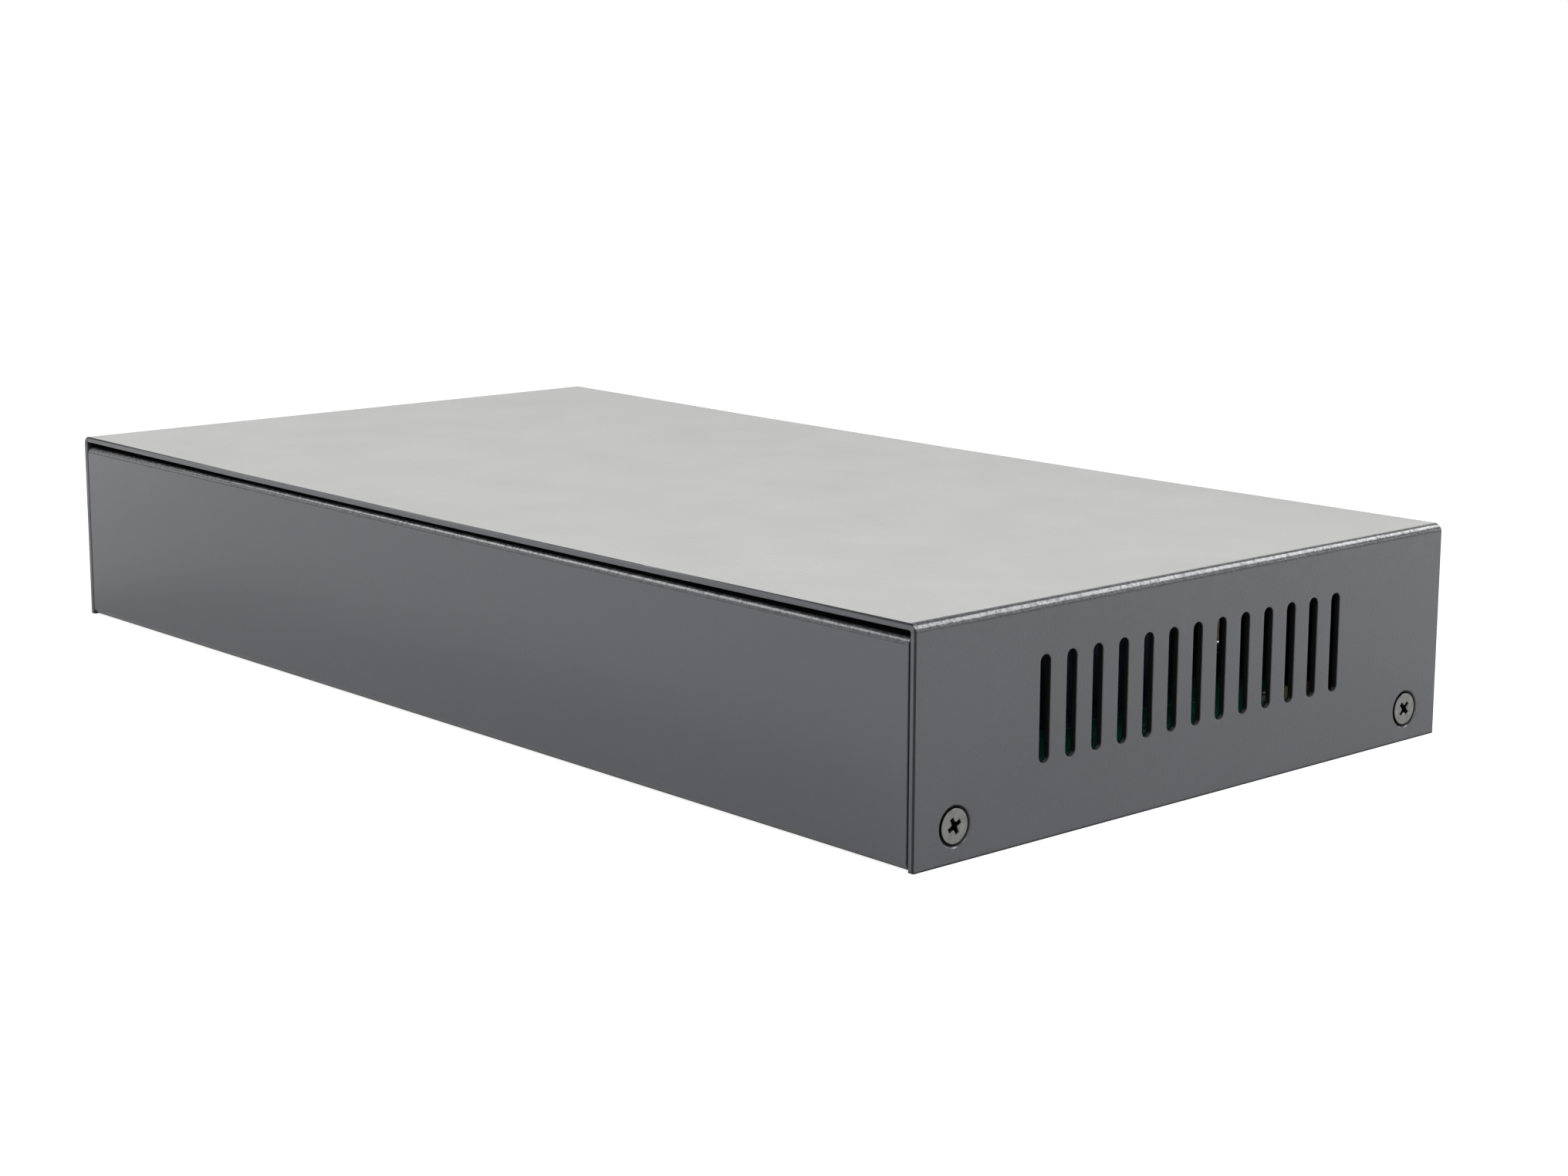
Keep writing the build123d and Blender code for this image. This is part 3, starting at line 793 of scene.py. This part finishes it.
def printed_ink(settings):
    """White screen print, thin enough for the coat's peel to show."""
    finish = Finish("white_print")
    wear = finish.noise(0.5 * MM, 3)
    peel = finish.noise(settings.peel_size, 1.5, 0.55)
    worn = lighter(settings.colour, 3.0)
    colour = finish.mixed(wear.ramp(0.5, 0.75) * 0.3, (0.62, 0.63, 0.64), worn)
    return finish.surface(
        base_color=colour,
        roughness=0.42 + wear * 0.12,
        normal=finish.bump(peel, settings.peel_height * 0.5),
    )


def port_mounts():
    """The ports' mounts in the record, each with the number printed over it."""
    first = {"uplink": 9, "poe": 1}
    for mount in frame["record"]["mounts"]:
        kind, _, count = mount["name"].partition("_port_")
        if kind in first and count:
            yield mount, first[kind] + int(count) - 1


class SWITCH_OT_print_numbers(bpy.types.Operator):
    """Print a plain number over each port"""

    bl_idname = "switch.print_numbers"
    bl_label = "Print Numbers"

    def execute(self, context):
        settings = context.scene.switch_print
        ink = printed_ink(context.scene.switch_paint)
        shell_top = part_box("poe_jack_1_shield")[1].z
        for mount, number in port_mounts():
            text = bpy.data.curves.new(f"number_{number}", "FONT")
            text.body = str(number)
            text.size = settings.size
            text.align_x = "CENTER"
            text.extrude = settings.thickness / 2
            text.materials.append(ink)
            piece = bpy.data.objects.new(f"port_number_{number}", text)
            piece.rotation_euler = (math.radians(90), 0, 0)
            piece.location = (mount["pos_m"][0], CASE_LOW.y, shell_top + settings.gap)
            context.scene.collection.objects.link(piece)
            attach(piece, "root")
        return {"FINISHED"}


class SWITCH_OT_finish_case(bpy.types.Operator):
    """Powder-coat the cover and the tray"""

    bl_idname = "switch.finish_case"
    bl_label = "Finish Case"

    def execute(self, context):
        paint = powder_coat(context.scene.switch_paint)
        for node in ("top_cover", "base_tray"):
            coat_node(node, paint)
        return {"FINISHED"}


class SWITCH_OT_finish_fasteners(bpy.types.Operator):
    """Plate the cover screws, the board screws and the standoffs"""

    bl_idname = "switch.finish_fasteners"
    bl_label = "Finish Fasteners"

    def execute(self, context):
        settings = context.scene.switch_parts
        coat_node("cover_screws", dark_nickel(settings))
        zinc = zinc_plate(settings)
        for node in ("board_screws", "board_standoffs"):
            coat_node(node, zinc)
        return {"FINISHED"}


class SWITCH_OT_finish_board(bpy.types.Operator):
    """Finish the circuit board"""

    bl_idname = "switch.finish_board"
    bl_label = "Finish Board"

    def execute(self, context):
        coat_node("main_board", circuit_board(context.scene.switch_parts))
        return {"FINISHED"}


class SWITCH_OT_finish_sockets(bpy.types.Operator):
    """Finish the jacks, the power socket and the lamps"""

    bl_idname = "switch.finish_sockets"
    bl_label = "Finish Sockets"

    def execute(self, context):
        settings = context.scene.switch_parts
        plastic = black_moulding(settings)
        shell = nickel_shell(settings)
        gold = gold_contact(settings)
        for jack in ("uplink_jack", "poe_jack_1", "poe_jack_2"):
            coat_node(jack + "_housing", plastic)
            coat_node(jack + "_shield", shell)
            coat_node(jack + "_contacts", gold)
        for node in ("dc_jack_housing", "power_lamp_holder", "service_header"):
            coat_node(node, plastic)
        coat_node("dc_jack_pin", zinc_plate(settings))
        coat_node("service_header_pins", gold)
        coat_node("jack_leds", clear_lens("jack_lens", (0.75, 0.78, 0.72)))
        coat_node("power_lamp", clear_lens("power_lens", (0.25, 0.62, 0.30)))
        return {"FINISHED"}


class SWITCH_OT_finish_board_parts(bpy.types.Operator):
    """Finish the chips, the coils and the other parts on the board"""

    bl_idname = "switch.finish_board_parts"
    bl_label = "Finish Board Parts"

    def execute(self, context):
        settings = context.scene.switch_parts
        resin = chip_resin()
        for node in RESIN_PARTS:
            coat_node(node, resin)
        coat_node("thermal_pad", silicone_pad())
        coat_node("heat_sink", anodised_aluminium())
        coat_node("bulk_capacitors", capacitor_skin(settings))
        coat_node("power_inductors", pressed_ferrite())
        coat_node("ceramic_capacitors", tinned_ceramic())
        coat_node("clock_crystal", brushed_can())
        return {"FINISHED"}


def floor_material():
    """White floor that shows as the background and keeps a faint shadow."""
    finish = Finish("white_floor")
    half = (CASE_HIGH - CASE_LOW) / 2
    away = (abs(finish.x) - half.x).greater(abs(finish.y) - half.y)

    # In reflections the floor shows its real shadow close to the case, and a painted shadow too, as
    # its white glow fades out towards the case
    seen = finish.seen_rays(away.ramp(0.03, 0.27) * 0.74)
    grain = finish.noise(3 * MM, 2)
    colour = finish.mixed(grain, (0.84, 0.84, 0.84), (0.86, 0.86, 0.86))
    board = finish.node("ShaderNodeBsdfDiffuse", {}, {"Color": colour})[0]
    glow = finish.node("ShaderNodeEmission", {}, {"Color": opaque(WHITE), "Strength": 1.35})[0]

    # The far floor is lit less, so it glows more
    share = away.ramp(0.2, 0.7) * 0.12 + 0.65
    blend = finish.node("ShaderNodeMixShader", {}, {0: seen * share, 1: board, 2: glow})[0]
    finish.node("ShaderNodeOutputMaterial", {}, {"Surface": blend})
    return finish.material


def light_world(settings):
    """White to the eye, and in reflections a white room that brightens up to a dim ceiling."""
    world = bpy.data.worlds.new("white_room")
    room = Nodes(world)
    upward = room.parts(room.node("ShaderNodeTexCoord", {}, {})["Generated"])[2]

    # By the sine of the height: the walls brighten from 6 to 13 degrees, and end at 16 to 21
    walls = upward.ramp(0.11, 0.225) * 1.38 + 0.5
    overhead = upward.ramp(0.27, 0.36)
    reflected = walls * (1 - overhead) + overhead * settings.ceiling

    seen = room.seen_rays(0.0)
    mirrored = room.node("ShaderNodeLightPath", {}, {})["Is Glossy Ray"]
    unseen = mirrored * reflected + (1 - mirrored) * settings.room_light
    warm = (0.99, 1.0, 0.972)
    light = {"Color": room.mixed(seen, warm, WHITE), "Strength": seen + (1 - seen) * unseen}
    background = room.node("ShaderNodeBackground", {}, light)[0]
    room.node("ShaderNodeOutputWorld", {}, {"Surface": background})
    return world


def aim(place, target, roll=0.0):
    """A matrix at place that looks at target with its top up."""
    back = (place - target).normalized()
    right = Vector((0, 0, 1)).cross(back).normalized()
    up = back.cross(right)
    turned_right = right * math.cos(roll) + up * math.sin(roll)
    turned_up = up * math.cos(roll) - right * math.sin(roll)
    axes = Matrix((turned_right, turned_up, back)).transposed()
    return Matrix.Translation(place) @ axes.to_4x4()


def add_floor(scene, settings):
    """A wide white floor, open under the case."""
    outer = settings.floor_size / 2
    inner_x = CASE_HIGH.x - FLOOR_OVERLAP
    inner_y = CASE_HIGH.y - FLOOR_OVERLAP
    turns = [(-1, -1), (1, -1), (1, 1), (-1, 1)]
    corners = [(x * outer, y * outer, 0) for x, y in turns]
    corners += [(x * inner_x, y * inner_y, 0) for x, y in turns]
    faces = [(n, (n + 1) % 4, (n + 1) % 4 + 4, n + 4) for n in range(4)]
    mesh = bpy.data.meshes.new("floor")
    mesh.from_pydata(corners, [], faces)
    mesh.materials.append(floor_material())
    floor = bpy.data.objects.new("floor", mesh)
    scene.collection.objects.link(floor)


def add_lamp(scene, name, place, target, size, power):
    """A soft lamp with a flat rectangular face."""
    lamp = bpy.data.lights.new(name, "AREA")
    lamp.shape = "RECTANGLE"
    lamp.size, lamp.size_y = size
    lamp.energy = power
    piece = bpy.data.objects.new(name, lamp)
    piece.matrix_world = aim(Vector(place), Vector(target))
    scene.collection.objects.link(piece)


def add_camera(scene, settings):
    """The camera, at the photograph's viewing angle."""
    level = math.cos(settings.elevation)
    back = Vector((
        math.sin(settings.azimuth) * level,
        -math.cos(settings.azimuth) * level,
        math.sin(settings.elevation),
    ))
    target = Vector(settings.target)
    lens = bpy.data.cameras.new("camera")
    lens.sensor_width = 36.0
    lens.lens = settings.lens
    lens.shift_x = settings.shift_x
    lens.shift_y = settings.shift_y
    lens.clip_start = 0.01
    lens.clip_end = 50.0
    camera = bpy.data.objects.new("camera", lens)
    camera.matrix_world = aim(target + back * settings.distance, target, settings.roll)
    scene.collection.objects.link(camera)
    scene.camera = camera


class SWITCH_OT_set_stage(bpy.types.Operator):
    """Add the floor, the light and the camera"""

    bl_idname = "switch.set_stage"
    bl_label = "Set Stage"

    def execute(self, context):
        scene = context.scene
        settings = scene.switch_stage
        add_floor(scene, settings)
        scene.world = light_world(settings)
        middle = (0.0, 0.0, CASE_HIGH.z / 2)
        for name, (place, size, share) in LAMPS.items():
            add_lamp(scene, name, place, middle, size, share * settings.lamp_power)
        add_camera(scene, settings)
        scene.view_settings.view_transform = "Standard"
        return {"FINISHED"}


OPERATORS = (
    SWITCH_OT_finish_case,
    SWITCH_OT_print_numbers,
    SWITCH_OT_finish_fasteners,
    SWITCH_OT_finish_board,
    SWITCH_OT_finish_sockets,
    SWITCH_OT_finish_board_parts,
    SWITCH_OT_set_stage,
)


class SWITCH_PT_sidebar(bpy.types.Panel):
    """Lists the steps that dress the switch"""

    bl_label = "Switch"
    bl_idname = "SWITCH_PT_sidebar"
    bl_space_type = "VIEW_3D"
    bl_region_type = "UI"
    bl_category = "Switch"

    def draw(self, context):
        column = self.layout.column(align=True)
        for operator in OPERATORS:
            column.operator(operator.bl_idname)


SETTINGS = {
    "switch_paint": PaintSettings,
    "switch_print": PrintSettings,
    "switch_parts": PartSettings,
    "switch_stage": StageSettings,
}


def register():
    for group in SETTINGS.values():
        bpy.utils.register_class(group)
    for name, group in SETTINGS.items():
        setattr(bpy.types.Scene, name, PointerProperty(type=group))
    for operator in OPERATORS:
        bpy.utils.register_class(operator)
    bpy.utils.register_class(SWITCH_PT_sidebar)


def unregister():
    bpy.utils.unregister_class(SWITCH_PT_sidebar)
    for operator in reversed(OPERATORS):
        bpy.utils.unregister_class(operator)
    for name, group in SETTINGS.items():
        delattr(bpy.types.Scene, name)
        bpy.utils.unregister_class(group)


def main():
    register()
    for operator in OPERATORS:
        group, name = operator.bl_idname.split(".")
        getattr(getattr(bpy.ops, group), name)()


if __name__ == "__main__":
    main()
